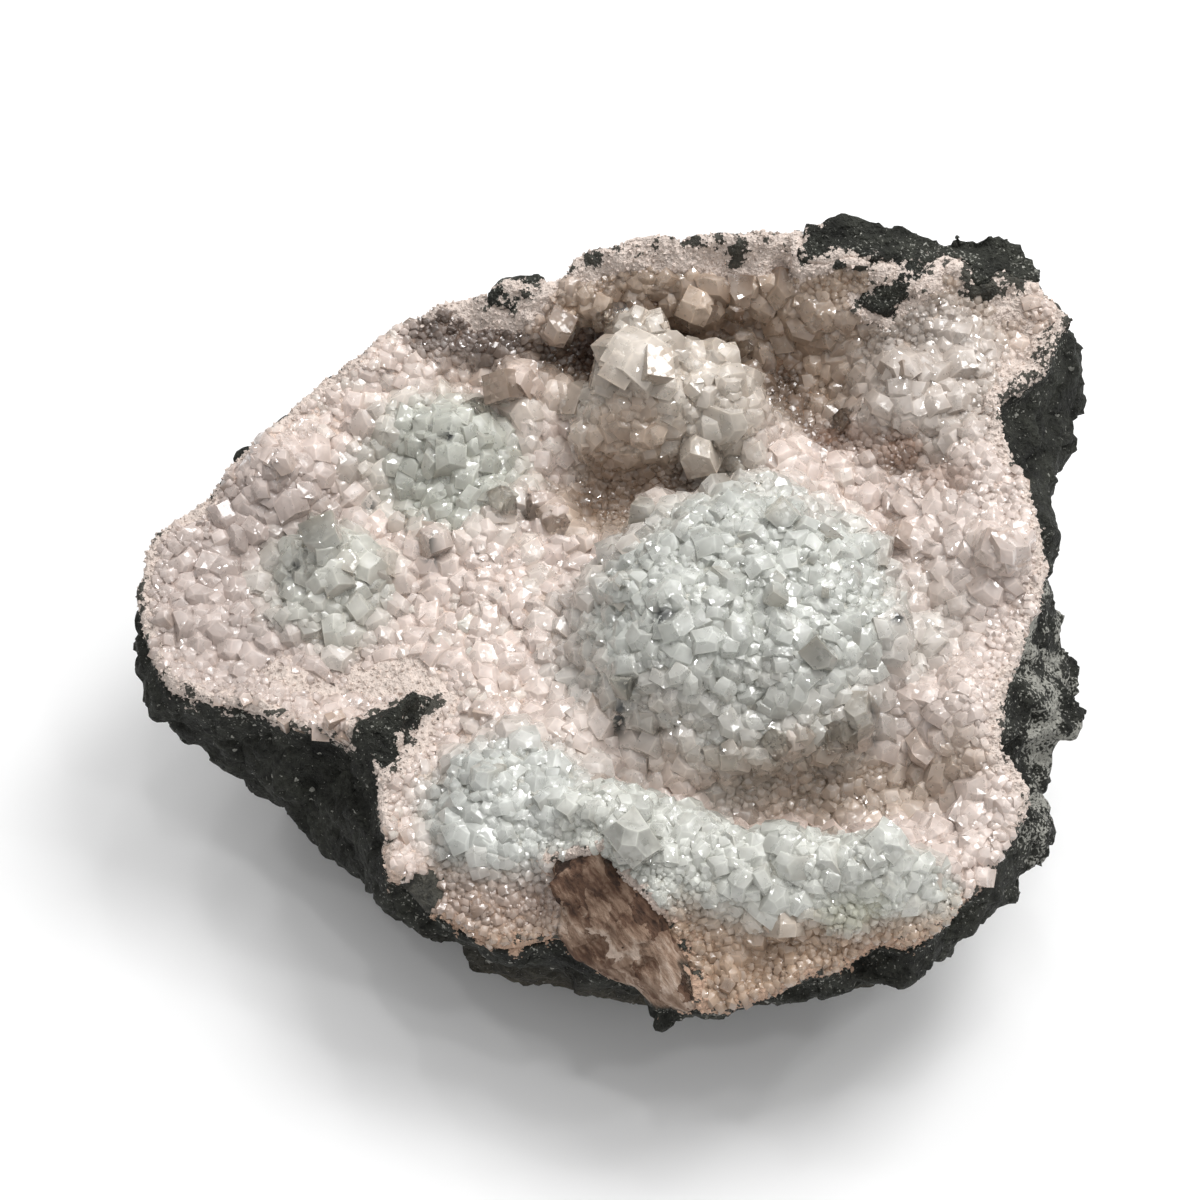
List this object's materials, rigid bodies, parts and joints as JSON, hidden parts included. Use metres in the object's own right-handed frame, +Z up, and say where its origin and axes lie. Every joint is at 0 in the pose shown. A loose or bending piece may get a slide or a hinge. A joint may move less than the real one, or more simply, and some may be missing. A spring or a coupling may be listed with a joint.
{
  "type": "apophyllite geode",
  "caption": "Broken half of a mineral geode: a dished basalt matrix lined with a pale green, pink and white crust of apophyllite crystals in domes, mounds and a ridge.",
  "frame": {"origin": "middle of the bounding box's base, on the surface that the geode rests on", "axes": "+X to the right along the longest side, -Y towards the low open front, +Z up"},
  "size_m": [0.3012, 0.2446, 0.155],
  "materials": {
    "basalt": "matte",
    "apophyllite": "satin"
  },
  "bodies": {
    "root": {"basalt_matrix": "basalt", "crystal_crust": "apophyllite"}
  },
  "joints": []
}
